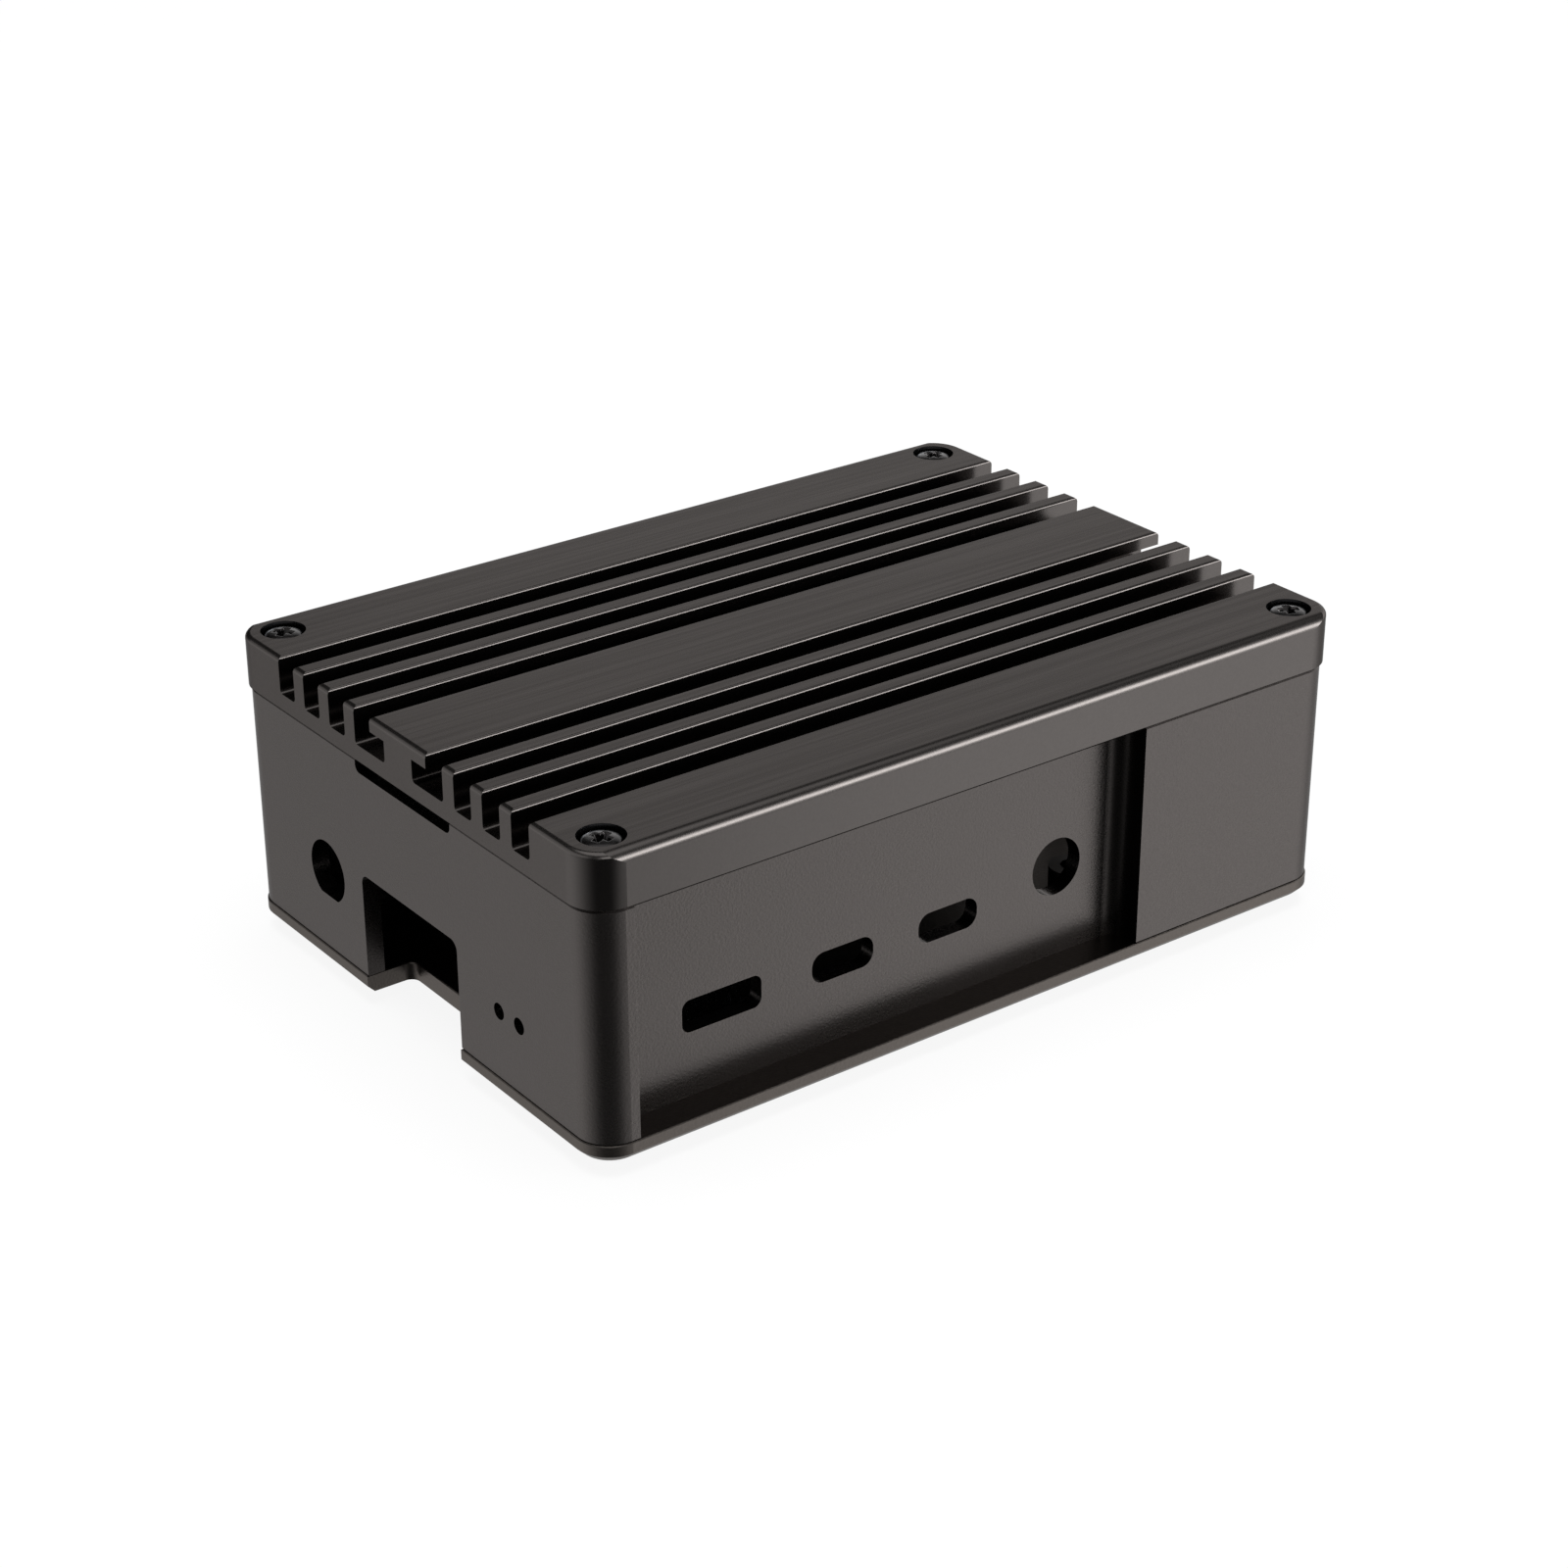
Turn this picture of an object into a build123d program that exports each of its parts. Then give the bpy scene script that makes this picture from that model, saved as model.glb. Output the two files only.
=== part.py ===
from build123d import *
import os

os.makedirs("parts", exist_ok=True)

# Aluminium case for a credit-card sized single board computer, in millimetres.
# X runs along the long side, from the memory card end (-X) to the data port end (+X).
# The recessed port side faces -Y, +Z is up, and the origin is under the middle of the case,
# on the surface that the feet stand on.

# The board that the case is made round, measured from its card end and its port side
board_length = 85.0
board_width = 56.0
board_thickness = 1.4
board_hole_inset = 3.5
board_hole_pitch_x = 58.0
tallest_socket = 16.0

# Room that the case leaves round the board
card_end_gap = 3.7
data_end_gap = 2.7
port_side_gap = 0.5
header_side_gap = 3.2
socket_headroom = 1.8

# Middle frame
wall = 2.0
port_panel_wall = 1.8
recess_depth = 3.5
recess_past_audio = 8.6
recess_corner_radius = 2.0
near_column_past_screw = 1.0
column_radius = 2.7
frame_upper_chamfer = 0.15
frame_lower_chamfer = 0.1
cavity_corner_radius = 1.0

# Finned cover
cover_overhang = 0.3
cover_corner_radius = 4.0
cover_height = 6.15
cover_side_edge_radius = 1.2
cover_end_edge_radius = 0.6
cover_lower_chamfer = 0.35
fins_per_side = 3
fin_width = 2.0
slot_width = 3.1
slot_depth = 4.0
slot_floor_radius = 0.5
fin_edge_radius = 0.3
crest_width = 10.6
crest_flange_thickness = 1.55
crest_web_width = 5.2

# Heat contact posts under the cover, with a soft pad on each
post_corner_radius = 1.0
pad_thickness = 1.0
processor_x = 29.25
processor_y = 32.5
processor_side = 15.0
processor_height = 2.3
memory_gap = 1.75
memory_length = 10.0
memory_width = 14.0
memory_height = 1.0
controller_gap = 3.5
controller_y = 36.0
controller_side = 10.0
controller_height = 0.9

# Base plate
base_overhang = 0.15
base_thickness = 2.0
base_lower_chamfer = 0.8
base_upper_chamfer = 0.1
notch_depth = 5.6
notch_corner_radius = 1.1

# Openings in the port side: places along the board, heights over the board's top face
power_x = 11.2
power_height = 1.6
power_opening_width = 9.5
power_opening_height = 3.6
power_opening_radius = 1.0
video_places_x = (26.0, 39.5)
video_height = 1.5
video_opening_width = 7.7
video_opening_height = 3.4
video_opening_radius = 1.45
audio_x = 54.0
audio_height = 3.1
audio_opening_diameter = 6.5

# Openings in the card end: places across the board, heights over the board's top face
card_y = 28.0
card_opening_width = 18.4
card_opening_top = 4.75
card_opening_radius = 1.1
light_places_y = (7.75, 11.35)
light_height = 0.4
light_hole_diameter = 1.8
keyed_hole_y = 44.4
keyed_hole_height = 2.05
keyed_hole_diameter = 6.9
keyed_hole_flat = 3.0
cable_slot_height = 1.3
cable_slot_radius = 0.8
display_slot_width = 18.1

# Openings in the data port end and the header side
network_inset = 10.25
network_opening_width = 16.6
network_opening_height = 14.0
data_places_y = (9.0, 27.0)
data_opening_width = 14.2
socket_opening_gap = 0.2
socket_opening_radius = 0.8
header_slot_x = 32.5
header_slot_width = 53.0

# Cover screws, pan headed, down into the columns, their crowns just under the cover's top face
screw_radius = 1.0
thread_clearance = 0.03
screw_hole_clearance = 0.15
cover_screw_head_radius = 1.9
cover_screw_head_height = 1.1
cover_screw_head_crown = 0.6
cover_screw_head_room = 0.5
cover_screw_sink = 0.35
cover_screw_length = 10.0
cross_width = 0.55
cross_span = 2.2
cross_depth = 0.9
cross_floor_share = 0.55

# Base screws, countersunk, up into the columns
base_screw_head_radius = 1.9
base_screw_head_height = 1.1
base_screw_length = 7.0
base_screw_sink = 0.05
head_seat_clearance = 0.03
thread_hole_spare = 1.0

# Standoffs pressed into the base plate
standoff_radius = 2.5
standoff_height = 5.9
standoff_thread_radius = 1.25
standoff_spigot_radius = 1.9
standoff_spigot_length = 1.6
spigot_clearance = 0.02

# Stick-on feet
foot_radius = 4.0
foot_height = 1.5
foot_edge_radius = 0.5
foot_inset_x = 11.0
foot_inset_y = 10.5

# How far a cutter runs past the face that it cuts
cut_margin = 1.0

# Sizes that follow from the board and the walls
cavity_length = card_end_gap + board_length + data_end_gap
cavity_width = port_side_gap + board_width + header_side_gap
frame_length = cavity_length + 2 * wall
frame_width = recess_depth + port_panel_wall + cavity_width + wall
frame_height = standoff_height + board_thickness + tallest_socket + socket_headroom
frame_corner_radius = cover_corner_radius - cover_overhang
cover_length = frame_length + 2 * cover_overhang
cover_width = frame_width + 2 * cover_overhang
base_length = frame_length + 2 * base_overhang
base_width = frame_width + 2 * base_overhang
base_corner_radius = frame_corner_radius + base_overhang

# Heights
base_bottom_z = foot_height
base_top_z = base_bottom_z + base_thickness
board_bottom_z = base_top_z + standoff_height
board_top_z = board_bottom_z + board_thickness
frame_top_z = base_top_z + frame_height
cover_top_z = frame_top_z + cover_height
slot_floor_z = cover_top_z - slot_depth
head_seat_z = cover_top_z - cover_screw_sink - cover_screw_head_height - cover_screw_head_crown

# Faces of the frame, and the board's corner at its card end and port side
frame_x_min = -frame_length / 2
frame_x_max = frame_length / 2
frame_y_min = -frame_width / 2
frame_y_max = frame_width / 2
panel_y = frame_y_min + recess_depth
cavity_x_min = frame_x_min + wall
cavity_y_min = panel_y + port_panel_wall
board_x = cavity_x_min + card_end_gap
board_y = cavity_y_min + port_side_gap

# Recess, from the near column to past the audio opening
recess_x_min = frame_x_min + frame_corner_radius + near_column_past_screw
recess_length = board_x + audio_x + recess_past_audio - recess_x_min

# Screw centres, on the centres of the corner arcs
screw_x = cover_length / 2 - cover_corner_radius
screw_y = cover_width / 2 - cover_corner_radius
screw_places = [(sx * screw_x, sy * screw_y) for sx in (-1, 1) for sy in (-1, 1)]
cover_screw_grip = head_seat_z - frame_top_z

# Standoff centres, under the board's holes, one row along each of its long edges
standoff_places = [
    (board_x + board_hole_inset + i * board_hole_pitch_x, board_y + y)
    for i in (0, 1)
    for y in (board_hole_inset, board_width - board_hole_inset)
]
foot_x = base_length / 2 - foot_inset_x
foot_y = base_width / 2 - foot_inset_y
foot_places = [(sx * foot_x, sy * foot_y) for sx in (-1, 1) for sy in (-1, 1)]

# Heat contacts: name, centre on the board, plan size and height of the chip below
memory_x = processor_x + processor_side / 2 + memory_gap + memory_length / 2
controller_x = memory_x + memory_length / 2 + controller_gap + controller_side / 2
heat_contacts = {
    "processor_pad": (processor_x, processor_y, processor_side, processor_side, processor_height),
    "memory_pad": (memory_x, processor_y, memory_length, memory_width, memory_height),
    "controller_pad": (controller_x, controller_y, controller_side, controller_side, controller_height),
}


def slab(length, width, radius, height, bottom_z):
    """Upright slab with rounded plan corners, centred on the Z axis."""
    return Pos(0, 0, bottom_z) * extrude(RectangleRounded(length, width, radius), height)


def disc(x, y, bottom_z, radius, height):
    """Upright cylinder that stands on a height."""
    return Pos(x, y, bottom_z) * Cylinder(radius, height, align=(Align.CENTER, Align.CENTER, Align.MIN))


def port_side_plane(x, z):
    """Plane on the recessed panel, facing out of the port side."""
    return Plane(origin=(x, panel_y, z), x_dir=(1, 0, 0), z_dir=(0, -1, 0))


def card_end_plane(y, z):
    """Plane on the card end's outer face, facing out of it."""
    return Plane(origin=(frame_x_min, y, z), x_dir=(0, -1, 0), z_dir=(-1, 0, 0))


def data_end_plane(y, z):
    """Plane on the data port end's outer face, facing out of it."""
    return Plane(origin=(frame_x_max, y, z), x_dir=(0, 1, 0), z_dir=(1, 0, 0))


def header_side_plane(x, z):
    """Plane on the header side's outer face, facing out of it."""
    return Plane(origin=(x, frame_y_max, z), x_dir=(-1, 0, 0), z_dir=(0, 1, 0))


def wall_cutter(plane, outline, thickness):
    """Cutter that runs through a wall from a plane on its outer face."""
    return extrude(plane * outline, thickness + cut_margin, dir=-plane.z_dir) + extrude(
        plane * outline, cut_margin, dir=plane.z_dir
    )


def slot_outline(left, right):
    """Section of a plain slot, with rounded floor corners."""
    height = slot_depth + cut_margin
    outline = Pos((left + right) / 2, slot_floor_z + height / 2) * Rectangle(right - left, height)
    return fillet(outline.vertices().group_by(Axis.Y)[0], slot_floor_radius)


def undercut_outline():
    """Section of the slot beside the crest, which runs in under the crest's flange."""
    crest_edge = crest_width / 2
    web_face = crest_web_width / 2
    fin_face = crest_edge + slot_width
    flange_z = cover_top_z - crest_flange_thickness
    section = Polyline(
        (web_face, slot_floor_z),
        (fin_face, slot_floor_z),
        (fin_face, cover_top_z + cut_margin),
        (crest_edge, cover_top_z + cut_margin),
        (crest_edge, flange_z),
        (web_face, flange_z),
        close=True,
    )
    face = make_face(section)
    floor_corners = face.vertices().group_by(Axis.Y)[0]
    return fillet(floor_corners, slot_floor_radius)


def cover_section():
    """Section across the cover: crest, fins and slots, with rounded upper edges."""
    section = Pos(0, frame_top_z + cover_height / 2) * Rectangle(cover_width, cover_height)
    slots = [undercut_outline()]
    pitch = fin_width + slot_width
    first = crest_width / 2 + slot_width + fin_width
    for i in range(fins_per_side):
        left = first + i * pitch
        slots.append(slot_outline(left, left + slot_width))
    for slot in slots:
        section = section - slot - mirror(slot, about=Plane.YZ)
    upper_corners = section.vertices().group_by(Axis.Y)[-1].sort_by(Axis.X)
    section = fillet(upper_corners[1:-1], fin_edge_radius)
    outer_corners = section.vertices().group_by(Axis.Y)[-1].sort_by(Axis.X)
    return fillet([outer_corners[0], outer_corners[-1]], cover_side_edge_radius)


def heat_post(contact):
    """Post under the cover that ends on the pad over one chip."""
    x, y, length, width, chip_height = contact
    pad_top_z = board_top_z + chip_height + pad_thickness
    outline = Pos(board_x + x, board_y + y) * RectangleRounded(length, width, post_corner_radius)
    return Pos(0, 0, pad_top_z) * extrude(outline, frame_top_z - pad_top_z)


def make_top_cover():
    """Finned cover with its T-shaped crest, milled and extruded as one piece."""
    blank = slab(cover_length, cover_width, cover_corner_radius, cover_height, frame_top_z)
    blank = fillet(blank.edges().group_by(Axis.Z)[-1], cover_end_edge_radius)
    blank = chamfer(blank.edges().group_by(Axis.Z)[0], cover_lower_chamfer)
    run = cover_length + 2 * cut_margin
    cover = blank & extrude(Plane.YZ.offset(-run / 2) * cover_section(), run)
    for contact in heat_contacts.values():
        cover = cover + heat_post(contact)
    for x, y in screw_places:
        head_room = cover_screw_head_radius + cover_screw_head_room
        cover = cover - disc(x, y, head_seat_z, head_room, cover_top_z - head_seat_z + cut_margin)
        hole = screw_radius + screw_hole_clearance
        cover = cover - disc(x, y, frame_top_z - cut_margin, hole, cover_screw_grip + 2 * cut_margin)
    return cover


def cable_slot_outline(width):
    """Flat slot at the frame's top edge with rounded lower corners, open to the cover."""
    height = cable_slot_height + cut_margin
    outline = Pos(0, (cut_margin - cable_slot_height) / 2) * Rectangle(width, height)
    return fillet(outline.vertices().group_by(Axis.Y)[0], cable_slot_radius)


def card_opening_outline():
    """Memory card opening with rounded upper corners, open to the base plate."""
    height = card_opening_top + board_top_z - base_top_z + cut_margin
    outline = Pos(0, -height / 2) * Rectangle(card_opening_width, height)
    return fillet(outline.vertices().group_by(Axis.Y)[-1], card_opening_radius)


def port_side_cutters():
    """Openings in the recessed panel."""
    cutters = []
    power = RectangleRounded(power_opening_width, power_opening_height, power_opening_radius)
    power_plane = port_side_plane(board_x + power_x, board_top_z + power_height)
    cutters.append(wall_cutter(power_plane, power, port_panel_wall))
    for x in video_places_x:
        video = RectangleRounded(video_opening_width, video_opening_height, video_opening_radius)
        video_plane = port_side_plane(board_x + x, board_top_z + video_height)
        cutters.append(wall_cutter(video_plane, video, port_panel_wall))
    audio_plane = port_side_plane(board_x + audio_x, board_top_z + audio_height)
    cutters.append(wall_cutter(audio_plane, Circle(audio_opening_diameter / 2), port_panel_wall))
    return cutters


def card_end_cutters():
    """Openings in the card end: card, status lights, keyed hole and display cable."""
    cutters = []
    card_plane = card_end_plane(board_y + card_y, board_top_z + card_opening_top)
    cutters.append(wall_cutter(card_plane, card_opening_outline(), wall))
    for y in light_places_y:
        light_plane = card_end_plane(board_y + y, board_top_z + light_height)
        cutters.append(wall_cutter(light_plane, Circle(light_hole_diameter / 2), wall))
    key_radius = keyed_hole_diameter / 2
    key_height = keyed_hole_flat + key_radius
    key_window = Pos(0, (key_radius - keyed_hole_flat) / 2) * Rectangle(keyed_hole_diameter, key_height)
    keyed = Circle(key_radius) & key_window
    keyed_plane = card_end_plane(board_y + keyed_hole_y, board_top_z + keyed_hole_height)
    cutters.append(wall_cutter(keyed_plane, keyed, wall))
    display_plane = card_end_plane(board_y + card_y, frame_top_z)
    cutters.append(wall_cutter(display_plane, cable_slot_outline(display_slot_width), wall))
    return cutters


def hidden_side_cutters():
    """Openings in the data port end, and the header cable's slot in the +Y side."""
    cutters = []
    data_opening_height = tallest_socket + 2 * socket_opening_gap
    sockets = [(board_width - network_inset, network_opening_width, network_opening_height)]
    sockets += [(y, data_opening_width, data_opening_height) for y in data_places_y]
    for y, width, height in sockets:
        outline = RectangleRounded(width, height, socket_opening_radius)
        middle_z = board_top_z - socket_opening_gap + height / 2
        cutters.append(wall_cutter(data_end_plane(board_y + y, middle_z), outline, wall))
    header_plane = header_side_plane(board_x + header_slot_x, frame_top_z)
    cutters.append(wall_cutter(header_plane, cable_slot_outline(header_slot_width), wall))
    return cutters


def make_body_frame():
    """Frame between cover and base: four walls, corner columns and the recessed port panel."""
    blank = slab(frame_length, frame_width, frame_corner_radius, frame_height, base_top_z)
    blank = chamfer(blank.edges().group_by(Axis.Z)[-1], frame_upper_chamfer)
    blank = chamfer(blank.edges().group_by(Axis.Z)[0], frame_lower_chamfer)
    cavity_x = cavity_x_min + cavity_length / 2
    cavity_y = cavity_y_min + cavity_width / 2
    cavity = slab(cavity_length, cavity_width, cavity_corner_radius, frame_height, base_top_z)
    columns = [disc(x, y, base_top_z, column_radius, frame_height) for x, y in screw_places]
    frame = blank - (Pos(cavity_x, cavity_y) * cavity - columns)
    recess_x = recess_x_min + recess_length / 2
    recess = Pos(recess_x, panel_y - recess_depth) * Rectangle(recess_length, 2 * recess_depth)
    recess = fillet(recess.vertices().group_by(Axis.Y)[-1], recess_corner_radius)
    frame = frame - Pos(0, 0, base_top_z) * extrude(recess, frame_height)
    for cutter in port_side_cutters() + card_end_cutters() + hidden_side_cutters():
        frame = frame - cutter
    upper_depth = cover_screw_length - cover_screw_grip + thread_hole_spare
    lower_depth = base_screw_length - base_thickness + thread_hole_spare
    for x, y in screw_places:
        frame = frame - disc(x, y, frame_top_z - upper_depth, screw_radius, upper_depth)
        frame = frame - disc(x, y, base_top_z, screw_radius, lower_depth)
    return frame


def make_base_plate():
    """Base plate with its sloped lower edge, finger notch and fixing holes."""
    plate = slab(base_length, base_width, base_corner_radius, base_thickness, base_bottom_z)
    plate = chamfer(plate.edges().group_by(Axis.Z)[0], base_lower_chamfer)
    notch = Pos(-base_length / 2, board_y + card_y) * Rectangle(2 * notch_depth, card_opening_width)
    notch = fillet(notch.vertices().group_by(Axis.X)[-1], notch_corner_radius)
    plate = plate - Pos(0, 0, base_bottom_z - cut_margin) * extrude(notch, base_thickness + 2 * cut_margin)
    plate = chamfer(plate.edges().group_by(Axis.Z)[-1], base_upper_chamfer)
    screw_hole = screw_radius + screw_hole_clearance
    for x, y in screw_places:
        plate = plate - disc(x, y, base_bottom_z - cut_margin, screw_hole, base_thickness + 2 * cut_margin)
        plate = plate - Pos(x, y, base_bottom_z) * countersink(head_seat_clearance)
    spigot_seat_z = base_top_z - standoff_spigot_length
    for x, y in standoff_places:
        plate = plate - disc(x, y, spigot_seat_z, standoff_spigot_radius, base_thickness)
    return plate


def countersink(clearance):
    """Cone of a base screw's head, mouth down, with an even clearance round it."""
    shank = screw_radius - thread_clearance
    slope = (base_screw_head_radius - shank) / base_screw_head_height
    depth = base_screw_head_height + base_screw_sink
    mouth = base_screw_head_radius + slope * base_screw_sink + clearance
    return Cone(mouth, shank + clearance, depth, align=(Align.CENTER, Align.CENTER, Align.MIN))


def cross_recess(top_z, direction):
    """Cutter of a tapered cross recess, sunk from a head's top in the given direction."""
    mouth = Plane(origin=(0, 0, top_z), z_dir=(0, 0, direction))
    bar = Rectangle(cross_span, cross_width) + Rectangle(cross_width, cross_span)
    floor = scale(bar, cross_floor_share)
    return loft([mouth * bar, mouth.offset(cross_depth) * floor])


def make_cover_screw():
    """Pan headed screw with a crowned head and a cross recess, its seat at height zero."""
    shank = screw_radius - thread_clearance
    shoulder = cover_screw_head_height
    crown = shoulder + cover_screw_head_crown
    side = Polyline(
        (0, crown),
        (0, -cover_screw_length),
        (shank, -cover_screw_length),
        (shank, 0),
        (cover_screw_head_radius, 0),
        (cover_screw_head_radius, shoulder),
    )
    dome = EllipticalCenterArc((0, shoulder), cover_screw_head_radius, cover_screw_head_crown, arc_size=90)
    screw = revolve(Plane.XZ * make_face(side + dome), Axis.Z)
    return screw - cross_recess(crown, -1)


def make_base_screw():
    """Countersunk screw, head down, with its head's face at height zero."""
    shank = screw_radius - thread_clearance
    side = Polyline(
        (0, 0),
        (base_screw_head_radius, 0),
        (shank, base_screw_head_height),
        (shank, base_screw_length),
        (0, base_screw_length),
        close=True,
    )
    screw = revolve(Plane.XZ * make_face(side), Axis.Z)
    return screw - cross_recess(0, 1)


def make_standoff():
    """Threaded standoff for the board, its shoulder at height zero and its spigot below."""
    low = -standoff_spigot_length
    body = disc(0, 0, 0, standoff_radius, standoff_height)
    spigot = disc(0, 0, low, standoff_spigot_radius - spigot_clearance, standoff_spigot_length)
    thread = disc(0, 0, low, standoff_thread_radius, standoff_spigot_length + standoff_height)
    return body + spigot - thread


def make_foot():
    """Stick-on rubber foot with a rounded lower edge."""
    foot = disc(0, 0, 0, foot_radius, foot_height)
    return fillet(foot.edges().group_by(Axis.Z)[0], foot_edge_radius)


def make_heat_pad(contact):
    """Soft pad stuck to the end of one heat post."""
    x, y, length, width, chip_height = contact
    outline = Pos(board_x + x, board_y + y) * RectangleRounded(length, width, post_corner_radius)
    return Pos(0, 0, board_top_z + chip_height) * extrude(outline, pad_thickness)


def set_out(piece, places, z):
    """Copies of one piece at each place, as a group of separate solids."""
    return Compound(children=[Pos(x, y, z) * piece for x, y in places])


def main():
    """Build every piece and write one file for each node."""
    nodes = {
        "top_cover": make_top_cover(),
        "body_frame": make_body_frame(),
        "base_plate": make_base_plate(),
        "cover_screws": set_out(make_cover_screw(), screw_places, head_seat_z),
        "base_screws": set_out(make_base_screw(), screw_places, base_bottom_z + base_screw_sink),
    }
    standoff = make_standoff()
    for number, (x, y) in enumerate(standoff_places, start=1):
        nodes[f"standoff_{number}"] = Pos(x, y, base_top_z) * standoff
    foot = make_foot()
    for number, (x, y) in enumerate(foot_places, start=1):
        nodes[f"foot_{number}"] = Pos(x, y, 0) * foot
    for name, contact in heat_contacts.items():
        nodes[name] = make_heat_pad(contact)
    for name, piece in nodes.items():
        export_step(piece, f"parts/{name}.step")


main()
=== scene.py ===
"""Studio scene of a black metal case for a single board computer, on a pale floor."""

import logging
import math
from dataclasses import dataclass
from enum import Enum
from types import MappingProxyType
from typing import Mapping, Optional, Sequence, Union

import bpy
from mathutils import Euler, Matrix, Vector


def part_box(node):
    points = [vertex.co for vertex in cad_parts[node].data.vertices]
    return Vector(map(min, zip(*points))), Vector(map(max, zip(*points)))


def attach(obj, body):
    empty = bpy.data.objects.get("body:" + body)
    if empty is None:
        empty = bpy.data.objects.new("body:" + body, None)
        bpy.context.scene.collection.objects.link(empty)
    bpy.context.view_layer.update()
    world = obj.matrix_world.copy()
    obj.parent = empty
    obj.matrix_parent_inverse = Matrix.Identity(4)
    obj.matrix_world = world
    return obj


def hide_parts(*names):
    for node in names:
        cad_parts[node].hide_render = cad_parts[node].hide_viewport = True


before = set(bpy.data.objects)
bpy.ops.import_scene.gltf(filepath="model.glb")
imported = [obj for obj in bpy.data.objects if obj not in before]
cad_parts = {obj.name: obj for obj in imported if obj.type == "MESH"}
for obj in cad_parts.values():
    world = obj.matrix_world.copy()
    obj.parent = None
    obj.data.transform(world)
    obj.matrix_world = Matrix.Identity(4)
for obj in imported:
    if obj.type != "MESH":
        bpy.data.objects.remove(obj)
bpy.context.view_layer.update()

Number = Union[int, float]
Span = tuple[float, float]
Point = tuple[float, float, float]
Colour = tuple[float, float, float]
Tint = Union[Colour, bpy.types.NodeSocket]
NOTHING: Mapping = MappingProxyType({})
# Where a mask round an axis begins, as a share of the radius at which it is full.
SOFT_RIM = 1.01
log = logging.getLogger("case")


@dataclass(frozen=True)
class Value:
    """One output socket of a node tree, which Python's operators turn into Math nodes.

    Args:
        graph: the graph that the socket belongs to.
        socket: the output socket.
    """

    graph: "Graph"
    socket: bpy.types.NodeSocket

    def math(self, operation: str, *others: "Operand") -> "Value":
        """Puts the value through one Math node.

        Args:
            operation: Blender's name of the operation.
            others: the operation's other values, links or numbers.

        Returns:
            The node's result.
        """
        inputs = {index: other for index, other in enumerate((self, *others))}
        return self.graph.value("ShaderNodeMath", {"operation": operation}, inputs)

    def __add__(self, other: "Operand") -> "Value":
        """The sum of two values."""
        return self.math("ADD", other)

    def __sub__(self, other: "Operand") -> "Value":
        """The value less another."""
        return self.math("SUBTRACT", other)

    def __rsub__(self, other: Number) -> "Value":
        """A number less the value."""
        return self.graph.value("ShaderNodeMath", {"operation": "SUBTRACT"}, {0: other, 1: self})

    def __mul__(self, other: "Operand") -> "Value":
        """The product of two values."""
        return self.math("MULTIPLY", other)

    def __truediv__(self, other: "Operand") -> "Value":
        """The value divided by another."""
        return self.math("DIVIDE", other)

    def __pow__(self, other: "Operand") -> "Value":
        """The value to a power."""
        return self.math("POWER", other)

    def __neg__(self) -> "Value":
        """The value with its sign turned."""
        return self.math("MULTIPLY", -1.0)

    def __abs__(self) -> "Value":
        """The value without its sign."""
        return self.math("ABSOLUTE")

    def either(self, other: "Operand") -> "Value":
        """The larger of two values."""
        return self.math("MAXIMUM", other)

    def step(self, low: float, high: float, start: float = 0.0, end: float = 1.0) -> "Value":
        """A soft step from one level to another.

        Args:
            low: the value at which the step begins.
            high: the value at which it ends; it may be below low.
            start: the level before the step.
            end: the level after it.

        Returns:
            The level, held at start and end outside the step.
        """
        inputs = {"Value": self, "From Min": low, "From Max": high, "To Min": start, "To Max": end}
        return self.graph.value("ShaderNodeMapRange", {"interpolation_type": "SMOOTHSTEP"}, inputs, "Result")


Operand = Union[Value, Number]


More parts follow.
